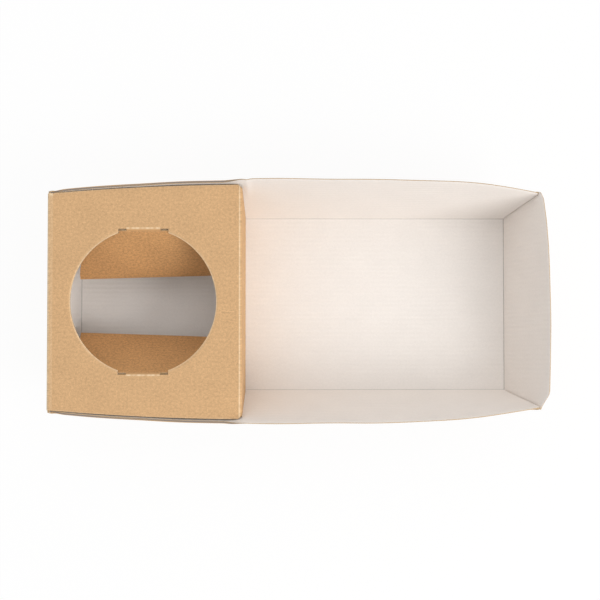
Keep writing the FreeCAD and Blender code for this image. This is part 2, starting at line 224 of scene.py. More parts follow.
def delete_faces(piece, unwanted):
    """Deletes the faces whose centre the test unwanted accepts."""
    make_active(piece)
    bpy.ops.object.mode_set(mode="EDIT")
    bpy.ops.mesh.select_all(action="DESELECT")
    bpy.ops.mesh.select_mode(type="FACE")
    bpy.ops.object.mode_set(mode="OBJECT")
    for face in piece.data.polygons:
        face.select = unwanted(face)
    bpy.ops.object.mode_set(mode="EDIT")
    bpy.ops.mesh.delete(type="FACE")
    bpy.ops.object.mode_set(mode="OBJECT")


def edit_all(piece, operator, **settings):
    """Runs a mesh operator on the whole piece in edit mode."""
    make_active(piece)
    bpy.ops.object.mode_set(mode="EDIT")
    bpy.ops.mesh.select_all(action="SELECT")
    operator(**settings)
    bpy.ops.object.mode_set(mode="OBJECT")


def face_liner_to(piece, direction):
    """Turns the sheet's faces so that the liner looks along the direction."""
    total = sum((face.normal * face.area for face in piece.data.polygons), Vector())
    if total.dot(direction) <= 0:
        edit_all(piece, bpy.ops.mesh.flip_normals)


def give_thickness(piece):
    """Grows the board from its liner to its kraft side; the blank's third coordinate is the depth."""
    make_active(piece)
    count = len(piece.data.vertices)
    for name in ("liner_paper", "kraft_paper", "cut_board"):
        piece.data.materials.append(bpy.data.materials[name])
    bpy.ops.object.modifier_add(type="SOLIDIFY")
    solid = piece.modifiers[-1]
    solid.thickness = sizes().board
    solid.offset = -1
    solid.use_even_offset = True
    solid.vertex_group = FULL
    solid.material_offset = KRAFT
    solid.material_offset_rim = CUT_EDGE
    bpy.ops.object.modifier_apply(modifier=solid.name)
    flat = piece.data.attributes[BLANK]
    for index in range(count, len(piece.data.vertices)):
        along, across, _ = flat.data[index].vector
        flat.data[index].vector = (along, across, 1)
    make_active(piece)
    bpy.ops.object.shade_smooth_by_angle(angle=math.radians(40))
    return piece


def join(name, pieces):
    make_active(pieces[0])
    for piece in pieces[1:]:
        piece.select_set(True)
    bpy.ops.object.join()
    pieces[0].name = name
    pieces[0].data.name = name
    return pieces[0]


# The walls' shape: where the bow widens, where the rims fall, and how the folded tray departs from square
BOW_SPREAD = 0.06
RIM_FALL = 4.5
CLIP_RUN = 8 * MM
SKEW_START, SKEW_RUN = 30 * MM, 88 * MM
LEFT_PULL, LEFT_PULL_RUN = 0.5 * MM, 40 * MM
PUSH_RUN = 10 * MM
PULL_START_RUN, PULL_END, PULL_END_RUN = 8 * MM, 75 * MM, 60 * MM


def level():
    return TRAY_HIGH.z + sizes().board


def side_thickness():
    return sizes().board * math.sqrt(1 + sizes().middle_slope ** 2)


def rim_ends():
    """Where the long walls' inner faces reach the end walls, at the level of the bow."""
    tray = sizes()
    return tray.floor_left - tray.left_slope * level(), tray.floor_right + tray.right_slope * level()


def half_width(x, z):
    """Distance from the middle to a long wall's inner face, on the line through x at height z."""
    tray = sizes()
    left, right = rim_ends()
    middle, reach = (left + right) / 2, (right - left) / 2
    spread = 1 + BOW_SPREAD * (z / level() - 1)
    share = (x - middle * spread) / (reach * spread)
    bow = (tray.middle_slope - tray.end_slope) * (1 - min(share * share, 1))
    return tray.floor_half + (tray.end_slope + bow) * z


def rim_height(x):
    """Height of a long wall's rim: low beside the bay, level along the food, falling to the right end."""
    tray = sizes()
    if x > tray.level_right:
        right = tray.floor_right + tray.right_slope * tray.rim_right
        share = (x - tray.level_right) / (right - tray.level_right)
        return TRAY_HIGH.z - (TRAY_HIGH.z - tray.rim_right) * share ** RIM_FALL
    left = tray.floor_left - tray.left_slope * tray.rim_left
    along_bay = (tray.level_left - x) / (tray.level_left - left)
    bay = mix(tray.rim_bay, tray.rim_left, min(max(along_bay, 0), 1))
    bay -= tray.left_clip * smooth((left + CLIP_RUN - x) / CLIP_RUN)
    return mix(TRAY_HIGH.z, bay, smooth((tray.level_left - x) / tray.bay_ramp))


def skew(x, z):
    """How far the right end leans to the rear, as a folded tray does that isn't quite square."""
    return sizes().skew * z * smooth((x - SKEW_START) / SKEW_RUN)


def wall_push(x, side):
    """How far a long wall stands out beside the bay, and the front one in along the food."""
    tray = sizes()
    bay = mix(-LEFT_PULL, tray.bay_push, smooth((x - LEFT_CREASE.x) / LEFT_PULL_RUN))
    bay *= smooth((tray.level_left - x) / PUSH_RUN)
    if side > 0:
        return bay
    starting = smooth((x - tray.level_left + PULL_START_RUN) / PULL_START_RUN)
    ending = smooth((PULL_END - x) / PULL_END_RUN)
    return bay - tray.front_pull * starting * ending


def fullness_at(distance):
    """How full the board is at a distance from its die-cut edge."""
    tray = sizes()
    return mix(tray.crushed, 1.0, smooth(distance / tray.crush_depth))


# The right end wall's die-cut edge as (y, z) in millimetres, from the rear corner to the front one
ARCH = ((53.6, 38.4), (49.2, 41.5), (37.3, 44.3), (25.5, 46.0), (14.0, 46.9), (0.0, 47.5), (-12.0, 47.8),
        (-27.0, 47.3), (-38.5, 46.6), (-43.5, 46.3), (-45.2, 45.6), (-53.6, 37.4))


def arch_height(y):
    """Height of the right end wall's die-cut edge at y."""
    for (y1, z1), (y2, z2) in zip(ARCH, ARCH[1:]):
        if y2 * MM <= y <= y1 * MM:
            return mix(z1, z2, (y1 * MM - y) / (y1 * MM - y2 * MM)) * MM
    return ARCH[0][1] * MM


# The papers

class TRAY_OT_materials(bpy.types.Operator):
    """Mix the papers of the board"""
    bl_idname = "tray.materials"
    bl_label = "Board papers"

    def execute(self, context):
        paper_fibre_group()
        flute_group()
        scratch_group()
        liner_paper()
        kraft_paper()
        cut_board()
        return {"FINISHED"}


def new_group(name, inputs, outputs):
    """A group of nodes; an input is a float where a default is given and a vector where it is None."""
    group = bpy.data.node_groups.new(name, "ShaderNodeTree")
    for label, default in inputs.items():
        kind = "NodeSocketVector" if default is None else "NodeSocketFloat"
        socket = group.interface.new_socket(name=label, in_out="INPUT", socket_type=kind)
        if default is not None:
            socket.default_value = default
    for label in outputs:
        group.interface.new_socket(name=label, in_out="OUTPUT", socket_type="NodeSocketFloat")
    return group, group.nodes.new("NodeGroupInput"), group.nodes.new("NodeGroupOutput")


def put(tree, socket, value):
    """Links a node's output to the socket, or sets the socket to a plain value."""
    if isinstance(value, bpy.types.NodeSocket):
        tree.links.new(value, socket)
    else:
        socket.default_value = value


def add_node(tree, kind, inputs=None, **settings):
    """A node with the settings, and with inputs put in by name or place."""
    node = tree.nodes.new(kind)
    for key, value in settings.items():
        setattr(node, key, value)
    for key, value in (inputs or {}).items():
        put(tree, node.inputs[key], value)
    return node


def math_node(tree, operation, *values, clamp=False):
    inputs = dict(enumerate(values))
    return add_node(tree, "ShaderNodeMath", inputs, operation=operation, use_clamp=clamp).outputs[0]


def vector_math(tree, operation, output, inputs):
    return add_node(tree, "ShaderNodeVectorMath", inputs, operation=operation).outputs[output]


def noise(tree, vector, scale, detail, stretch=(1, 1, 1), roughness=0.5):
    mapping = add_node(tree, "ShaderNodeMapping", {"Vector": vector, "Scale": stretch})
    inputs = {"Vector": mapping.outputs[0], "Scale": scale, "Detail": detail, "Roughness": roughness}
    return add_node(tree, "ShaderNodeTexNoise", inputs).outputs["Fac"]


def centred(tree, value, gain):
    """(value - 0.5) * gain"""
    return math_node(tree, "MULTIPLY", math_node(tree, "SUBTRACT", value, 0.5), gain)


def paper_fibre_group():
    """Fine mottling, short fibres and soft clouds of a recycled paper face, centred on 0."""
    group, inputs, outputs = new_group(
        "paper_fibre", {"Vector": None, "Fleck": 0.5, "Cloud": 0.5}, ("Tone", "Height"))
    vector = inputs.outputs["Vector"]
    fibres = noise(group, vector, 760, 4, (1.0, 1.1, 1.0), 0.65)
    grain = noise(group, vector, 1700, 2)
    clouds = noise(group, vector, 70, 3)
    fine = math_node(group, "ADD", centred(group, fibres, 1.0), centred(group, grain, 0.6))
    fleck = math_node(group, "MULTIPLY", fine, inputs.outputs["Fleck"])
    cloud = math_node(group, "MULTIPLY", centred(group, clouds, 1.0), inputs.outputs["Cloud"])
    group.links.new(math_node(group, "ADD", fleck, cloud), outputs.inputs["Tone"])
    group.links.new(fine, outputs.inputs["Height"])


def flute_group():
    """The washboard that the flutes leave in the paper, stronger here and weaker there."""
    group, inputs, outputs = new_group("flute_lines", {"Vector": None, "Pitch": 2.4 * MM}, ("Wave",))
    parts = add_node(group, "ShaderNodeSeparateXYZ", {0: inputs.outputs["Vector"]})
    wander = centred(group, noise(group, inputs.outputs["Vector"], 25, 2), 0.9 * MM)
    across = math_node(group, "ADD", parts.outputs["Y"], wander)
    turns = math_node(group, "DIVIDE", across, inputs.outputs["Pitch"])
    wave = math_node(group, "SINE", math_node(group, "MULTIPLY", turns, 2 * math.pi))
    patches = noise(group, inputs.outputs["Vector"], 38, 2, (0.6, 1.0, 1.0))
    strength = math_node(group, "MULTIPLY", math_node(group, "SUBTRACT", patches, 0.28), 2.2, clamp=True)
    group.links.new(math_node(group, "MULTIPLY", wave, strength), outputs.inputs["Wave"])


def scratch_group():
    """A short straight mark from Start to End on the blank, 1 along its middle and 0 beyond its width."""
    group, inputs, outputs = new_group(
        "scratch", {"Vector": None, "Start": None, "End": None, "Width": 0.4 * MM}, ("Mark",))
    start = inputs.outputs["Start"]
    way = vector_math(group, "SUBTRACT", "Vector", {0: inputs.outputs["End"], 1: start})
    here = vector_math(group, "SUBTRACT", "Vector", {0: inputs.outputs["Vector"], 1: start})
    flat = vector_math(group, "MULTIPLY", "Vector", {0: here, 1: (1, 1, 0)})
    done = vector_math(group, "DOT_PRODUCT", "Value", {0: flat, 1: way})
    whole = vector_math(group, "DOT_PRODUCT", "Value", {0: way, 1: way})
    along = math_node(group, "DIVIDE", done, whole, clamp=True)
    nearest = vector_math(group, "SCALE", "Vector", {0: way, "Scale": along})
    off = vector_math(group, "DISTANCE", "Value", {0: flat, 1: nearest})
    reach = math_node(group, "DIVIDE", off, inputs.outputs["Width"])
    group.links.new(math_node(group, "SUBTRACT", 1.0, reach, clamp=True), outputs.inputs["Mark"])


def new_material(name, roughness):
    material = bpy.data.materials.new(name)
    material.use_nodes = True
    tree = material.node_tree
    shader = tree.nodes["Principled BSDF"]
    shader.inputs["Roughness"].default_value = roughness
    shader.inputs["Specular IOR Level"].default_value = 0.25
    blank = add_node(tree, "ShaderNodeAttribute", attribute_name=BLANK)
    return tree, shader, blank.outputs["Vector"]


def use_group(tree, name, vector, **values):
    inputs = {"Vector": vector, **values}
    return add_node(tree, "ShaderNodeGroup", inputs, node_tree=bpy.data.node_groups[name])


def mix_colour(tree, first, second, share):
    return add_node(tree, "ShaderNodeMix", {0: share, 6: first, 7: second}, data_type="RGBA").outputs[2]


def finish_paper(tree, shader, base, tone, height, bump_reach):
    """Gives a paper the base colour times 1 + tone, and its relief."""
    bright = math_node(tree, "ADD", tone, 1.0)
    put(tree, shader.inputs["Base Color"], vector_math(tree, "SCALE", "Vector", {0: base, "Scale": bright}))
    bump = add_node(tree, "ShaderNodeBump", {"Distance": bump_reach, "Height": height})
    put(tree, shader.inputs["Normal"], bump.outputs[0])


# The liner's painted shade beside the bay is the blank's third coordinate below 0, strongest at the value
# below
PAINTED_SHADE_MARK = -0.01
PAINTED_SHADE_DEPTH = 0.28
PAPER_BUMP, EDGE_BUMP = 0.05 * MM, 0.04 * MM
PRESS_RUN = 6 * MM


def liner_paper():
    """The off-white inside, with painted shade in its creases and beside the bay under the deck's edge."""
    tree, shader, blank = new_material("liner_paper", 0.72)
    fibre = use_group(tree, "paper_fibre", blank, Fleck=0.12, Cloud=0.06)
    wave = use_group(tree, "flute_lines", blank, Pitch=sizes().flute).outputs["Wave"]
    wear_and_painted_light = add_node(tree, "ShaderNodeAttribute", attribute_name=WEAR_AND_PAINTED_LIGHT)
    parts = add_node(tree, "ShaderNodeSeparateXYZ", {0: blank})
    tone = math_node(tree, "MULTIPLY_ADD", wave, 0.010, fibre.outputs["Tone"])
    # Painted shade in the liner's creases
    tone = math_node(tree, "MULTIPLY_ADD", wear_and_painted_light.outputs["Fac"], -0.55, tone)
    # Painted shade on the long walls beside the bay, under the deck's edge
    tone = math_node(tree, "MULTIPLY_ADD", parts.outputs["Z"], -PAINTED_SHADE_DEPTH / PAINTED_SHADE_MARK, tone)
    height = math_node(tree, "MULTIPLY_ADD", fibre.outputs["Height"], 0.25, wave)
    finish_paper(tree, shader, tuple(colours().liner), tone, height, PAPER_BUMP)


# Marks near the deck's right crease: start and end on the blank, width (in millimetres) and brightness
MARKS = (
    ((84.5, -4.4), (90.6, -4.9), 0.35, 0.16),
    ((84.8, -5.2), (90.2, -5.6), 0.4, -0.14),
    ((90.2, -8.6), (92.0, -8.9), 0.3, 0.16),
    ((84.4, -4.0), (84.2, -13.0), 0.3, 0.064),
)


def kraft_paper():
    """The brown outside: paler where the attribute is above 0, for stretched fibres and painted highlight,
    and browner and more mottled where it is below, for painted shade.
    """
    tree, shader, blank = new_material("kraft_paper", 0.78)
    fibre = use_group(tree, "paper_fibre", blank, Fleck=0.72, Cloud=0.16)
    wave = use_group(tree, "flute_lines", blank, Pitch=sizes().flute).outputs["Wave"]
    wear_and_painted_light = add_node(tree, "ShaderNodeAttribute", attribute_name=WEAR_AND_PAINTED_LIGHT).outputs["Fac"]
    # Paler kraft where the attribute is above 0, from fibres and, on fold crests, a painted highlight;
    # painted shade below 0
    ragged = math_node(tree, "ADD", 0.55, noise(tree, blank, 500, 2))
    rub_and_highlight = math_node(tree, "MULTIPLY", wear_and_painted_light, ragged, clamp=True)
    shade = math_node(tree, "MULTIPLY", wear_and_painted_light, -1.0, clamp=True)
    base = mix_colour(tree, (*colours().kraft, 1), (*colours().worn_and_painted_light, 1), rub_and_highlight)
    base = mix_colour(tree, base, (*colours().shaded, 1), shade)
    tone = math_node(tree, "MULTIPLY_ADD", wave, 0.004, fibre.outputs["Tone"])
    # In the painted shade the mottling is stronger too, as grazing light would show it
    tone = math_node(tree, "MULTIPLY", tone, math_node(tree, "MULTIPLY_ADD", shade, 0.9, 1.0))
    for start, end, width, gain in MARKS:
        start, end = (Vector((*point, 0)) * MM for point in (start, end))
        mark = use_group(tree, "scratch", blank, Start=start, End=end, Width=width * MM)
        tone = math_node(tree, "MULTIPLY_ADD", mark.outputs["Mark"], gain, tone)
    mottling = math_node(tree, "MULTIPLY", fibre.outputs["Height"], 0.35)
    height = math_node(tree, "MULTIPLY_ADD", wave, 0.2, mottling)
    finish_paper(tree, shader, base, tone, height, PAPER_BUMP)


def cut_board():
    """A die-cut edge: on the long walls beside the bay two papers with the fluted sheet waving between
    them, and elsewhere the papers pressed together, with patches of pale fibre."""
    tree, shader, blank = new_material("cut_board", 0.85)
    parts = add_node(tree, "ShaderNodeSeparateXYZ", {0: blank})
    depth = parts.outputs["Z"]
    turns = math_node(tree, "MULTIPLY", parts.outputs["Y"], 2 * math.pi / sizes().flute)
    wave = math_node(tree, "MULTIPLY_ADD", math_node(tree, "SINE", turns), 0.34, 0.5)
    off_wave = math_node(tree, "ABSOLUTE", math_node(tree, "SUBTRACT", depth, wave))
    off_middle = math_node(tree, "ABSOLUTE", math_node(tree, "SUBTRACT", depth, 0.5))
    paper = math_node(tree, "GREATER_THAN", off_middle, 0.32)
    flute = math_node(tree, "LESS_THAN", off_wave, 0.11)
    kraft_side = math_node(tree, "GREATER_THAN", depth, 0.5)
    base = mix_colour(tree, (*colours().hollow, 1), (*colours().edge, 1), flute)
    outer = mix_colour(tree, (*colours().edge, 1), (*colours().kraft, 1), kraft_side)
    base = mix_colour(tree, base, outer, paper)
    bay_end = sizes().level_left
    past_bay = add_node(tree, "ShaderNodeMapRange", {
        "Value": parts.outputs["X"], "From Min": bay_end - PRESS_RUN, "From Max": bay_end})
    patches = math_node(tree, "ADD", centred(tree, noise(tree, blank, 60, 3), 7.0), 0.25, clamp=True)
    pressed = mix_colour(tree, (*colours().pressed, 1), (*colours().fuzz, 1), patches)
    base = mix_colour(tree, base, pressed, past_bay.outputs[0])
    fibre = use_group(tree, "paper_fibre", blank, Fleck=0.35, Cloud=0.2)
    solid = math_node(tree, "MAXIMUM", paper, flute)
    height = math_node(tree, "ADD", solid, fibre.outputs["Height"])
    finish_paper(tree, shader, base, fibre.outputs["Tone"], height, EDGE_BUMP)


# The tray, with how many rows and columns its sheets have
FLOOR_ROWS = 36
LAST_FLOOR_ROW = 0.985
FOLD_ROWS = 5
WALL_ROWS = 24
FIRST_WALL_ROW = 0.014
RIM_ROWS = (0.974, 0.987, 1.0)
LONG_COLUMNS = 240

# On the liner a crease's value is painted shade in the crease; on the kraft it is paler stretched fibres
CREASE_SHADE_AND_WEAR = 0.55
NEAR_RIM = 0.93
SEAM_RUN = 3 * MM
WAVE_REACH = 0.22 * MM
# Painted shade on the liner beside the bay reaches this far down from the rim
PAINTED_SHADE_REACH, PAINTED_SHADE_RUN = 6 * MM, 4 * MM
DENT_WIDTH, DENT_DEPTH = 1.3 * MM, 0.45 * MM
DENT_FOOT, DENT_RUN = 26 * MM, 14 * MM


class TRAY_OT_tray(bpy.types.Operator):
    """Fold the floor, the four walls and the corner tabs"""
    bl_idname = "tray.tray"
    bl_label = "Tray"

    def execute(self, context):
        band = floor_and_long_walls()
        right = end_wall("right_end", 1)
        left = end_wall("left_end", -1)
        pieces = [give_thickness(piece) for piece in (band, right, left)]
        tray = join("tray_board", pieces)
        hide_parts("tray")
        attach(tray, "tray")
        return {"FINISHED"}


def side_profile():
    """Half of the section across the tray, from the middle of the floor up a long wall.

    Each entry is (kind, value): floor rows hold a share of the half width, fold rows an angle share and
    wall rows a share of the wall's height.
    """
    half_floor = FLOOR_ROWS // 2
    rows = [("floor", row / half_floor) for row in range(half_floor)] + [("floor", LAST_FLOOR_ROW)]
    return rows + fold_and_wall_rows()


def fold_and_wall_rows():
    """Rows up a crease and a wall, closer together beside the crease and where the rim is crushed."""
    shares = [FIRST_WALL_ROW, *(row / WALL_ROWS for row in range(1, WALL_ROWS)), *RIM_ROWS]
    rows = [("fold", step / FOLD_ROWS) for step in range(FOLD_ROWS + 1)]
    return rows + [("wall", share) for share in shares]


def crease_shade_and_wear(step):
    """Painted shade of a crease on the liner and paler stretched fibres on its kraft side, strongest in the
    middle of the fold.
    """
    return math.sin(math.pi * step) ** 0.5


def long_wall_point(x_share, kind, value):
    """(x, y, z, flat across, crease mark with its painted shade, fullness) of a point of the half section
    at a share of the length.
    """
    tray = sizes()
    board, radius = tray.board, tray.fold_radius
    left, right = rim_ends()
    foot_x = mix(tray.floor_left, tray.floor_right, x_share)
    top_x = mix(left, right, x_share)
    slope_here = (half_width(top_x, level()) - tray.floor_half) / level()
    angle = math.pi / 2 - math.atan(slope_here)
    reach = radius * math.tan(angle / 2)
    floor_end = tray.floor_half + slope_here * board - reach
    if kind == "floor":
        x = mix(tray.floor_left - tray.left_slope * board + reach,
                tray.floor_right + tray.right_slope * board - reach, x_share)
        return x, floor_end * value, board, floor_end * value, 0.0, 1.0
    centre_z = board + radius
    turn = angle * value if kind == "fold" else angle
    y = floor_end + radius * math.sin(turn)
    z = centre_z - radius * math.cos(turn)
    across = floor_end + radius * turn
    if kind == "fold":
        return x_on_wall(foot_x, top_x, z), y, z, across, CREASE_SHADE_AND_WEAR * crease_shade_and_wear(value), 1.0
    rim_x = mix(foot_x, top_x, rim_height(mix(foot_x, top_x, NEAR_RIM)) / level())
    rim_z = rim_height(rim_x)
    start_z, rise = z, (rim_z - z) * value
    z = start_z + rise
    y += slope_here * rise
    x = x_on_wall(foot_x, top_x, z)
    beside_bay = smooth((tray.level_left - x) / tray.bay_ramp)
    fullness = mix(fullness_at(rim_z - z), 1.0, beside_bay)
    y += board / 2 * (1 - fullness) + rim_wave(x_share) * smooth((z / rim_z - 0.3) / 0.7)
    x += tray.seam * (1 - 2 * x_share) * smooth((z - start_z) / SEAM_RUN)
    return x, y, z, across + rise * math.hypot(1, slope_here), 0.0, fullness


def x_on_wall(foot_x, top_x, z):
    return foot_x + (top_x - foot_x) * z / level()


def rim_wave(x_share):
    """How far the rim wanders in and out along the wall: two sines of given lengths."""
    return WAVE_REACH * math.sin(x_share * 23 + 1.1) * math.sin(x_share * 9)


def rear_dent(x, z):
    """The upright dent that the deck's corner pressed into the rear wall."""
    off = (x - sizes().level_left) / DENT_WIDTH
    return DENT_DEPTH * math.exp(-off * off) * smooth((z - DENT_FOOT) / DENT_RUN)


def floor_and_long_walls():
    half = side_profile()
    profile = [(-1, *row) for row in reversed(half[1:])] + [(1, *row) for row in half]

    def place(i, j):
        side, kind, value = profile[j]
        x, y, z, across, worn_and_painted_light, fullness = long_wall_point(i / LONG_COLUMNS, kind, value)
        if kind == "wall":
            y += wall_push(x, side) * smooth(z / TRAY_HIGH.z)
            y -= rear_dent(x, z) if side > 0 else 0.0
        return Vector((x, y * side + skew(x, z), z)), x, across * side, worn_and_painted_light, fullness

    band = sheet("floor_and_long_walls", LONG_COLUMNS, len(profile) - 1, place)
    flat = band.data.attributes[BLANK]
    # Painted shade on the liner beside the bay, just under the rim, where the deck's edge shades the walls
    for vertex in band.data.vertices:
        beside_bay = smooth((sizes().level_left - vertex.co.x) / sizes().bay_ramp)
        in_painted_shade = smooth((vertex.co.z - rim_height(vertex.co.x) + PAINTED_SHADE_REACH) / PAINTED_SHADE_RUN)
        flat.data[vertex.index].vector.z = PAINTED_SHADE_MARK * beside_bay * in_painted_shade
    return band


END_COLUMNS = 84
TAB_COLUMNS = 12
CORNER_STEPS = 5
CORNER_RADIUS = 0.5 * MM
CORNER_DROP = 4.5 * MM
TAB_FOOT, TAB_DROP = 5 * MM, 4 * MM
LEFT_FOLD_DEPTH = 1.6 * MM


def end_columns():
    """Columns of an end wall as (kind, share, side), from the end of one glue tab to the other's."""
    columns = [("tab", 1 - step / TAB_COLUMNS, 1) for step in range(TAB_COLUMNS)]
    columns += [("corner", step / CORNER_STEPS, 1) for step in range(CORNER_STEPS)]
    columns += [("panel", 1 - 2 * step / END_COLUMNS, 1) for step in range(END_COLUMNS + 1)]
    columns += [("corner", 1 - step / CORNER_STEPS, -1) for step in range(1, CORNER_STEPS + 1)]
    return columns + [("tab", step / TAB_COLUMNS, -1) for step in range(1, TAB_COLUMNS + 1)]


def end_wall(name, direction):
    """An end wall folded up from the floor and round both corners onto the outside of the long walls."""
    tray = sizes()
    board, radius = tray.board, tray.fold_radius
    lean = tray.right_slope if direction > 0 else tray.left_slope
    foot = tray.floor_right if direction > 0 else -tray.floor_left
    angle = math.pi / 2 - math.atan(lean)
    floor_end = foot + lean * board - radius * math.tan(angle / 2)
    corner_height = tray.rim_right if direction > 0 else LEFT_CREASE.z - LEFT_FOLD_DEPTH
    columns, rows = end_columns(), fold_and_wall_rows()

    def wall_half(z):
        return half_width((foot + lean * z) * direction, z) + side_thickness()

    def reach_of(kind, share, start_z):
        """The lowest and highest points of a wall's column."""
        if kind == "corner":
            return start_z, corner_height - CORNER_DROP * (1 - share)
        if kind == "tab":
            return start_z + TAB_FOOT * share, corner_height - CORNER_DROP - TAB_DROP * share
        if direction < 0:
            return start_z, corner_height
        return start_z, arch_height(share * (wall_half(corner_height) - CORNER_RADIUS))

    def place(i, j):
        kind, share, side = columns[i]
        row, climb = rows[j]
        turn = angle * climb if row == "fold" else angle
        x = floor_end + radius * math.sin(turn)
        z = board + radius - radius * math.cos(turn)
        run = radius * turn
        worn_and_painted_light = crease_shade_and_wear(climb) if row == "fold" else 0.0
        fullness = 1.0
        if row == "wall":
            low, top = reach_of(kind, share, z)
            rise = mix(low, top, climb) - z
            x, z, run = x + lean * rise, z + rise, run + rise * math.hypot(1, lean)
            if direction > 0 and kind == "panel":
                fullness = fullness_at(top - z)
                x += board / 2 * (1 - fullness)
        half = wall_half(z)
        if kind == "panel":
            y = across = share * (half - CORNER_RADIUS)
        elif kind == "corner":
            turn = math.pi / 2 * share
            y = side * (half - CORNER_RADIUS + CORNER_RADIUS * math.cos(turn))
            x -= CORNER_RADIUS - CORNER_RADIUS * math.sin(turn)
            across = side * (half + CORNER_RADIUS * (1 - share))
        else:
            x -= CORNER_RADIUS + share * tray.tab
            y = side * (half_width(x * direction, z) + side_thickness())
            across = side * (half + CORNER_RADIUS + share * tray.tab)
        lean_back = skew(x, z) if direction > 0 else 0.0
        return Vector((x * direction, y * direction + lean_back, z)), run, across * direction, worn_and_painted_light, fullness

    def in_tab_notch(face):
        beside = abs(face.center.y) > wall_half(board) - 0.9 * CORNER_RADIUS
        return beside and face.center.z < board + radius

    wall = sheet(name, len(columns) - 1, len(rows) - 1, place)
    delete_faces(wall, in_tab_notch)
    return wall


# The deck. The margins are where the panels end and the creases' own strips begin
DECK_RINGS = 10
QUARTER_STEPS = 30
CREASE_MARGIN = 1.0 * MM
LEFT_MARGIN = 2.4 * MM
FLAP_MARGIN = 0.72 * MM
HINGE_SHARE = 0.68
DECK_GAP_LEFT, DECK_GAP_RIGHT = 0.75 * MM, 0.1 * MM
CUT_GAP = 0.1 * MM
CLOSE = 0.01 * MM
EDGE_FULLNESS, EDGE_RUN = 0.75, 0.8 * MM


def edge_fullness(off, run=EDGE_RUN):
    """How full a panel's board is at a distance from its cut edge."""
    return mix(EDGE_FULLNESS, 1.0, smooth(off / run))


def deck_half(x):
    """Half of the deck's width at x: a slant from the left crease to the right one, bowed a little."""
    tray = sizes()
    share = min(max((x - LEFT_CREASE.x) / (RIGHT_CREASE.x - LEFT_CREASE.x), 0), 1)
    left = half_width(LEFT_CREASE.x, DECK_LOW.z) - DECK_GAP_LEFT
    right = half_width(RIGHT_CREASE.x, DECK_LOW.z) - DECK_GAP_RIGHT
    return mix(left, right, share) + 4 * tray.deck_bow * share * (1 - share)


def hole_outline():
    """The hole's edge as (x, y) from its centre, anticlockwise from +X, with the flap creases' notches."""
    tray = sizes()
    radius = tray.hole_radius
    half = tray.hinge_width / 2 + CUT_GAP
    reach = abs(REAR_CREASE.y)
    held = HINGE_SHARE * tray.hinge_width / 2
    start = math.atan2(math.sqrt(radius ** 2 - half ** 2), half)
    angles = [start * step / QUARTER_STEPS for step in range(QUARTER_STEPS + 1)]
    quarter = [(radius * math.cos(angle), radius * math.sin(angle)) for angle in angles]
    quarter += [(half, reach + CUT_GAP / 2), (held, reach + CUT_GAP / 2), (held, reach + FLAP_MARGIN),
                (held / 2, reach + FLAP_MARGIN)]
    top = quarter + [(0, reach + FLAP_MARGIN)] + [(-x, y) for x, y in reversed(quarter)]
    return top + [(x, -y) for x, y in reversed(top[1:-1])]


def deck_edge(direction):
    """Where a ray from the hole's centre in the direction leaves the deck's outline."""
    end = RIGHT_CREASE.x - CREASE_MARGIN if direction.x > 0 else LEFT_CREASE.x + LEFT_MARGIN
    reach = (end - REAR_CREASE.x) / direction.x if abs(direction.x) > 1e-9 else math.inf
    if abs(direction.y) < 1e-9:
        return reach
    to_side = deck_half(REAR_CREASE.x) / abs(direction.y)
    for _ in range(12):
        to_side = deck_half(REAR_CREASE.x + direction.x * to_side) / abs(direction.y)
    return min(reach, to_side)


def deck_sheet():
    """Rings from the hole's edge out to the deck's, with a ray through each of the deck's corners."""
    inner = hole_outline()
    ends = (RIGHT_CREASE.x - CREASE_MARGIN, LEFT_CREASE.x + LEFT_MARGIN)
    targets = [math.atan2(deck_half(x) * side, x - REAR_CREASE.x) for x in ends for side in (1, -1)]
    count = len(inner)
    directions = [Vector((x, y, 0)).normalized() for x, y in inner]
    for target in targets:
        nearest = min(range(count), key=lambda k: abs(math.atan2(directions[k].y, directions[k].x) - target))
        directions[nearest] = Vector((math.cos(target), math.sin(target), 0))
    edge = [directions[k] * deck_edge(directions[k]) for k in range(count)]
    underside = LEFT_CREASE.z - sizes().board / 2
    shares = (0, 0.02, 0.06) + tuple(ring / DECK_RINGS for ring in range(1, DECK_RINGS)) + (0.97, 1.0)

    def place(i, j):
        k = i % count
        share = shares[j]
        x = mix(inner[k][0], edge[k].x, share) + REAR_CREASE.x
        y = mix(inner[k][1], edge[k].y, share)
        if share < 0.5:
            die_cut = math.hypot(*inner[k]) < sizes().hole_radius + CLOSE
            off = (Vector((x - REAR_CREASE.x, y)) - Vector(inner[k])).length
            rub_and_highlight, rub_run, run = 0.75, 0.7 * MM, EDGE_RUN
        else:
            die_cut = abs(edge[k].y) > deck_half(REAR_CREASE.x + edge[k].x) - CLOSE
            off = abs(edge[k].y) * (1 - share)
            rub_and_highlight, rub_run, run = 0.35, 1.0 * MM, 1.0 * MM
        worn_and_painted_light = rub_and_highlight * (1 - smooth(off / rub_run)) if die_cut else 0.0
        fullness = edge_fullness(off, run) if die_cut else 1.0
        return Vector((x, y, underside)), x - LEFT_CREASE.x, y, worn_and_painted_light, fullness

    piece = sheet("deck_board", count, len(shares) - 1, place)
    edit_all(piece, bpy.ops.mesh.remove_doubles, threshold=CLOSE)
    return piece


class TRAY_OT_deck(bpy.types.Operator):
    """Cut the deck over the cup bay with its round hole"""
    bl_idname = "tray.deck"
    bl_label = "Deck"

    def execute(self, context):
        deck = deck_sheet()
        face_liner_to(deck, Vector((0, 0, -1)))
        give_thickness(deck)
        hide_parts("cup_deck")
        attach(deck, "cup_deck")
        return {"FINISHED"}


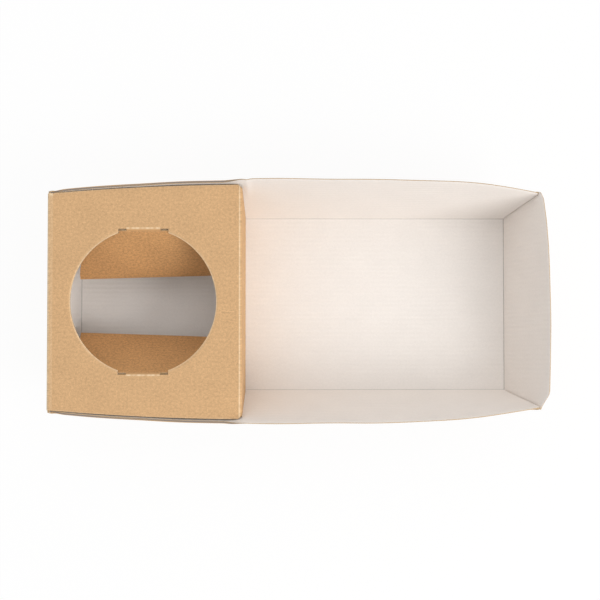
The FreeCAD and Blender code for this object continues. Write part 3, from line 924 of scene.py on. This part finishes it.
# The divider
DIVIDER_ROWS = 20
DIVIDER_COLUMNS = 240
DIVIDER_GAP = 0.3 * MM
DIVIDER_CLIP, CLIP_HEIGHT = 1.6 * MM, 2.2 * MM
NICK_PITCH, NICK_START = 9.3 * MM, 0.35
NICK_DEPTH, NICK_WIDTH = 0.35 * MM, 0.06
FOOT_FULLNESS = 0.7


def foot_nick(y):
    """The small steps that the cutting rule left along the divider's lower edge."""
    off = (y / NICK_PITCH + NICK_START) % 1 - 0.5
    return NICK_DEPTH * math.exp(-(off / NICK_WIDTH) ** 2)


class TRAY_OT_divider(bpy.types.Operator):
    """Hang the divider from the deck's right crease"""
    bl_idname = "tray.divider"
    bl_label = "Divider"

    def execute(self, context):
        tray = sizes()
        top = RIGHT_CREASE.z - CREASE_MARGIN
        foot = DIVIDER_LOW.z
        top_half = half_width(RIGHT_CREASE.x, top) - DIVIDER_GAP
        foot_half = half_width(RIGHT_CREASE.x, foot) - DIVIDER_GAP
        shares = (0, 0.015, 0.03, *(row / DIVIDER_ROWS for row in range(1, DIVIDER_ROWS)), 0.96, 0.98, 1.0)

        def place(i, j):
            y_share = 2 * i / DIVIDER_COLUMNS - 1
            low = foot + foot_nick(y_share * foot_half)
            z = mix(low, top, shares[j])
            half = mix(foot_half, top_half, (z - foot) / (top - foot))
            clip = DIVIDER_CLIP * smooth((z - (top - CLIP_HEIGHT)) / CLIP_HEIGHT)
            y = y_share * (half - clip)
            worn_and_painted_light = 0.4 * (1 - smooth((z - low) / EDGE_RUN))
            fullness = mix(FOOT_FULLNESS, 1.0, smooth((z - low) / tray.crush_depth))
            return Vector((DIVIDER_LOW.x, y, z)), RIGHT_CREASE.z - z, y, worn_and_painted_light, fullness

        divider = sheet("divider_board", DIVIDER_COLUMNS, len(shares) - 1, place)
        face_liner_to(divider, Vector((-1, 0, 0)))
        give_thickness(divider)
        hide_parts("divider")
        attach(divider, "divider")
        return {"FINISHED"}


# The cup flaps
# Painted shade on the cup flaps: their kraft darker and browner where they hang in the hole
SHADED_KRAFT = -0.6
SHADE_RUN = 1.5 * MM
REAR_DROOP, FRONT_DROOP = math.radians(51), math.radians(57)
FLAP_TWIST = math.radians(2.2)
FLAP_GAP = 0.3 * MM
FLAP_ROWS, FLAP_COLUMNS, NECK_ROWS = 28, 50, 2


def flap(body, crease, side, droop):
    """A half-round cup flap that hangs from its crease; side is 1 for the rear one."""
    tray = sizes()
    radius = tray.hole_radius - FLAP_GAP
    half = tray.hinge_width / 2
    reach = abs(crease.y)
    neck = reach - math.sqrt(radius ** 2 - half ** 2)
    tip = reach - FLAP_GAP

    def half_at(depth):
        if depth <= neck:
            return half
        return math.sqrt(max(radius ** 2 - (reach - depth) ** 2, 0))

    def place(i, j):
        if j < NECK_ROWS:
            depth = mix(FLAP_MARGIN, neck, j / NECK_ROWS)
        else:
            depth = mix(neck, tip, (j - NECK_ROWS) / (FLAP_ROWS - NECK_ROWS))
        x = (2 * i / FLAP_COLUMNS - 1) * half_at(depth)
        lean = droop + FLAP_TWIST * (x / radius) * smooth(depth / tip)
        out = depth * math.cos(lean) - tray.board / 2 * math.sin(lean)
        down = depth * math.sin(lean) + tray.board / 2 * math.cos(lean)
        off = min(half_at(depth) - abs(x), tip - depth)
        fullness = edge_fullness(off) if depth > neck else 1.0
        # Painted shade over the flap, from just past its crease
        worn_and_painted_light = SHADED_KRAFT * smooth(depth / SHADE_RUN)
        point = Vector((crease.x + x, crease.y - side * out, crease.z - down))
        return point, x, side * (reach - depth), worn_and_painted_light, fullness

    piece = sheet(f"{body}_board", FLAP_COLUMNS, FLAP_ROWS, place)
    face_liner_to(piece, Vector((0, side, -1)))
    give_thickness(piece)
    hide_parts(body)
    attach(piece, body)


class TRAY_OT_flaps(bpy.types.Operator):
    """Press the two half-round flaps down out of the cup hole"""
    bl_idname = "tray.flaps"
    bl_label = "Cup flaps"

    def execute(self, context):
        flap("rear_cup_flap", REAR_CREASE, 1, REAR_DROOP)
        flap("front_cup_flap", FRONT_CREASE, -1, FRONT_DROOP)
        return {"FINISHED"}


# The creases
FOLD_STEPS = 8
# Paler kraft on the right fold's crest, by arc step: stretched fibres and a painted highlight
FOLD_HIGHLIGHT_AND_WEAR = {1: 0.3, 2: 1.0, 3: 0.55}
LEFT_STRIPS, RIGHT_STRIPS, FLAP_STRIPS = 120, 160, 48
# Paler kraft along the left fold and at its rear corner: stretched fibres and a painted highlight
LEFT_RUB_AND_HIGHLIGHT, LEFT_RUB_AND_HIGHLIGHT_ENDS = 0.75, 0.2
CORNER_RUB_AND_HIGHLIGHT_START, CORNER_RUB_AND_HIGHLIGHT_RUN = 0.975, 0.02
RIGHT_CORNER, RIGHT_GAP = 1.9 * MM, 0.25 * MM
FLAP_FOLD_RADIUS = 0.12 * MM
TORN_ROWS = 3


def fold_strip(name, path, steps, spread, liner_side, flat_start, wear_and_painted_light):
    """A strip of board along a crease.

    path holds 2-D points of the liner across the crease, spread(index, share) says where the point of
    that index lies at a share of the crease's length, and the last function (index, share) how much paler
    the kraft is there from stretched fibres and painted highlight, with values below 0 for painted shade.
    """
    runs = run_lengths(path)

    def place(i, j):
        point, across = spread(j, i / steps)
        return point, flat_start + runs[j], across, wear_and_painted_light(j, i / steps), 1.0

    piece = sheet(name, steps, len(path) - 1, place)
    face_liner_to(piece, liner_side)
    return give_thickness(piece)


class TRAY_OT_folds(bpy.types.Operator):
    """Close the creases that the deck, the divider and the flaps turn on"""
    bl_idname = "tray.folds"
    bl_label = "Creases"

    def execute(self, context):
        left_fold()
        right_fold()
        flap_fold("rear_flap_crease", REAR_CREASE, 1, REAR_DROOP)
        flap_fold("front_flap_crease", FRONT_CREASE, -1, FRONT_DROOP)
        return {"FINISHED"}


def left_fold():
    """The crease where the left end wall turns over into the deck."""
    tray = sizes()
    lean = tray.left_slope
    wall_x = LEFT_CREASE.x + tray.board / 2 * math.hypot(1, lean)
    under = LEFT_CREASE.z - tray.board / 2
    corner = (wall_x + lean * tray.board / 2, under)
    low = (wall_x + lean * LEFT_FOLD_DEPTH, LEFT_CREASE.z - LEFT_FOLD_DEPTH)
    path = rounded([low, corner, (LEFT_CREASE.x + LEFT_MARGIN, under)], tray.fold_radius, FOLD_STEPS)

    def spread(j, share):
        y = (2 * share - 1) * deck_half(path[j].x)
        return Vector((path[j].x, y, path[j].y)), y

    # Paler kraft along the fold and at its rear corner: stretched fibres and a painted highlight
    def wear_and_painted_light(j, share):
        rub_and_highlight = LEFT_RUB_AND_HIGHLIGHT if 2 <= j <= len(path) - 4 else LEFT_RUB_AND_HIGHLIGHT_ENDS
        return max(rub_and_highlight, smooth((share - CORNER_RUB_AND_HIGHLIGHT_START) / CORNER_RUB_AND_HIGHLIGHT_RUN))

    piece = fold_strip("left_crease", path, LEFT_STRIPS, spread, Vector((1, 0, -1)), -2 * MM, wear_and_painted_light)
    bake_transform(piece)


def right_fold():
    """The crease where the deck turns down into the divider, with its corners rounded off."""
    tray = sizes()
    under = RIGHT_CREASE.z - tray.board / 2
    inner = RIGHT_CREASE.x - tray.board / 2
    foot = RIGHT_CREASE.z - CREASE_MARGIN
    start = RIGHT_CREASE.x - CREASE_MARGIN
    path = rounded([(start, under), (inner, under), (inner, foot)], tray.fold_radius, FOLD_STEPS)
    foot_half = half_width(RIGHT_CREASE.x, foot) - RIGHT_CORNER

    def spread(j, share):
        half = mix(deck_half(start), foot_half, smooth(j / (len(path) - 1))) - RIGHT_GAP
        y = (2 * share - 1) * half
        return Vector((path[j].x, y, path[j].y)), y

    piece = fold_strip("right_crease", path, RIGHT_STRIPS, spread, Vector((-1, 0, -1)),
                       RIGHT_CREASE.x - LEFT_CREASE.x, lambda j, share: FOLD_HIGHLIGHT_AND_WEAR.get(j, 0.0))
    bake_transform(piece)


def flap_fold(name, crease, side, droop):
    """The part of a flap's crease that still holds, between the two cut ends."""
    tray = sizes()
    half_board = tray.board / 2
    cos, sin = math.cos(droop), math.sin(droop)
    deck_end = (FLAP_MARGIN, -half_board)
    bend = (math.tan(droop / 2) * half_board, -half_board)
    flap_end = (-FLAP_MARGIN * cos + half_board * sin, -FLAP_MARGIN * sin - half_board * cos)
    path = rounded([deck_end, bend, flap_end], FLAP_FOLD_RADIUS, FOLD_STEPS // 2)
    held = HINGE_SHARE * tray.hinge_width / 2

    def spread(j, share):
        y = crease.y + side * path[j].x
        return Vector((crease.x + (2 * share - 1) * held, y, crease.z + path[j].y)), y

    # Torn pale fibres in the first rows, then painted shade spreading onto the flap
    def wear_and_painted_light(j, share):
        torn = 0.6 + 0.5 * math.sin(share * 31 + side) * math.sin(share * 13)
        return torn if j < TORN_ROWS else SHADED_KRAFT * (j - TORN_ROWS + 1) / 4

    piece = fold_strip(name, path, FLAP_STRIPS, spread, Vector((0, side, -1)), 0, wear_and_painted_light)
    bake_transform(piece)


# The stage

class TRAY_OT_stage(bpy.types.Operator):
    """Lay the floor, hang the lights and place the camera"""
    bl_idname = "tray.stage"
    bl_label = "Stage"

    def execute(self, context):
        lay_floor()
        light_world()
        hang_lights()
        place_camera()
        return {"FINISHED"}


FLOOR_SIZE, FLOOR_DROP = 4.0, 0.1 * MM
FLOOR_WHITE = 0.93
WORLD_LIGHT = 0.66
LIGHTS = (
    ("key_light", (0.86, -0.58, 0.88), 0.75, 9.6, (1.0, 0.985, 0.97)),
    ("fill_light", (0.0, 0.9, 1.1), 1.2, 3.4, (1.0, 0.995, 0.985)),
)
CAMERA_PLACE = (0.63 * MM, -18 * MM, 645 * MM)
CAMERA_TILT = math.radians(1.79)
CAMERA_LENS = 74.0


def lay_floor():
    """A pale floor that looks nearly white to the camera and still shows the tray's shadow."""
    deselect_all()
    bpy.ops.mesh.primitive_plane_add(size=FLOOR_SIZE, location=(0, 0, -FLOOR_DROP))
    floor = bpy.context.active_object
    floor.name = "backdrop_floor"
    material = bpy.data.materials.new("backdrop")
    material.use_nodes = True
    tree = material.node_tree
    shader = tree.nodes["Principled BSDF"]
    shader.inputs["Base Color"].default_value = (*colours().backdrop, 1)
    shader.inputs["Roughness"].default_value = 0.9
    shader.inputs["Specular IOR Level"].default_value = 0.1
    white = add_node(tree, "ShaderNodeEmission")
    path = add_node(tree, "ShaderNodeLightPath")
    share = math_node(tree, "MULTIPLY", path.outputs["Is Camera Ray"], FLOOR_WHITE)
    blend = add_node(tree, "ShaderNodeMixShader", {0: share, 1: shader.outputs[0], 2: white.outputs[0]})
    tree.links.new(blend.outputs[0], tree.nodes["Material Output"].inputs["Surface"])
    floor.data.materials.append(material)
    bpy.ops.object.transform_apply(location=True, rotation=True, scale=True)


def light_world():
    """A world that lights the tray softly and is white behind it."""
    world = bpy.data.worlds.new("studio")
    bpy.context.scene.world = world
    world.use_nodes = True
    tree = world.node_tree
    back = tree.nodes["Background"]
    path = add_node(tree, "ShaderNodeLightPath")
    seen = math_node(tree, "MAXIMUM", path.outputs["Is Camera Ray"], path.outputs["Is Glossy Ray"])
    seen = math_node(tree, "MAXIMUM", seen, path.outputs["Is Transmission Ray"])
    strength = math_node(tree, "MULTIPLY_ADD", seen, 1 - WORLD_LIGHT, WORLD_LIGHT)
    tree.links.new(strength, back.inputs["Strength"])
    back.inputs["Color"].default_value = (1, 1, 1, 1)


def hang_lights():
    for name, place, size, power, tint in LIGHTS:
        bpy.ops.object.light_add(type="AREA", location=place)
        light = bpy.context.active_object
        light.name = name
        light.data.size = size
        light.data.energy = power
        light.data.color = tint
        light.rotation_euler = Vector(place).to_track_quat("Z", "Y").to_euler()


def place_camera():
    bpy.ops.object.camera_add(location=CAMERA_PLACE, rotation=(CAMERA_TILT, 0, 0))
    camera = bpy.context.active_object
    camera.name = "photo_camera"
    camera.data.lens = CAMERA_LENS
    camera.data.sensor_width = 36
    camera.data.sensor_fit = "HORIZONTAL"
    bpy.context.scene.camera = camera
    bpy.context.scene.view_settings.view_transform = "Standard"


class TRAY_PT_panel(bpy.types.Panel):
    bl_idname = "TRAY_PT_panel"
    bl_label = "Cardboard tray"
    bl_space_type = "VIEW_3D"
    bl_region_type = "UI"
    bl_category = "Tray"

    def draw(self, context):
        for operator in OPERATORS:
            self.layout.operator(operator.bl_idname)
        for group in (context.scene.tray_sizes, context.scene.tray_colours):
            for name in group.__annotations__:
                self.layout.prop(group, name)


OPERATORS = (TRAY_OT_materials, TRAY_OT_tray, TRAY_OT_deck, TRAY_OT_divider, TRAY_OT_flaps, TRAY_OT_folds,
             TRAY_OT_stage)
CLASSES = (TraySizes, TrayColours, *OPERATORS, TRAY_PT_panel)


def register():
    for item in CLASSES:
        bpy.utils.register_class(item)
    bpy.types.Scene.tray_sizes = bpy.props.PointerProperty(type=TraySizes)
    bpy.types.Scene.tray_colours = bpy.props.PointerProperty(type=TrayColours)


def unregister():
    del bpy.types.Scene.tray_colours
    del bpy.types.Scene.tray_sizes
    for item in reversed(CLASSES):
        bpy.utils.unregister_class(item)


def main():
    register()
    bpy.ops.tray.materials()
    bpy.ops.tray.tray()
    bpy.ops.tray.deck()
    bpy.ops.tray.divider()
    bpy.ops.tray.flaps()
    bpy.ops.tray.folds()
    bpy.ops.tray.stage()


if __name__ == "__main__":
    main()
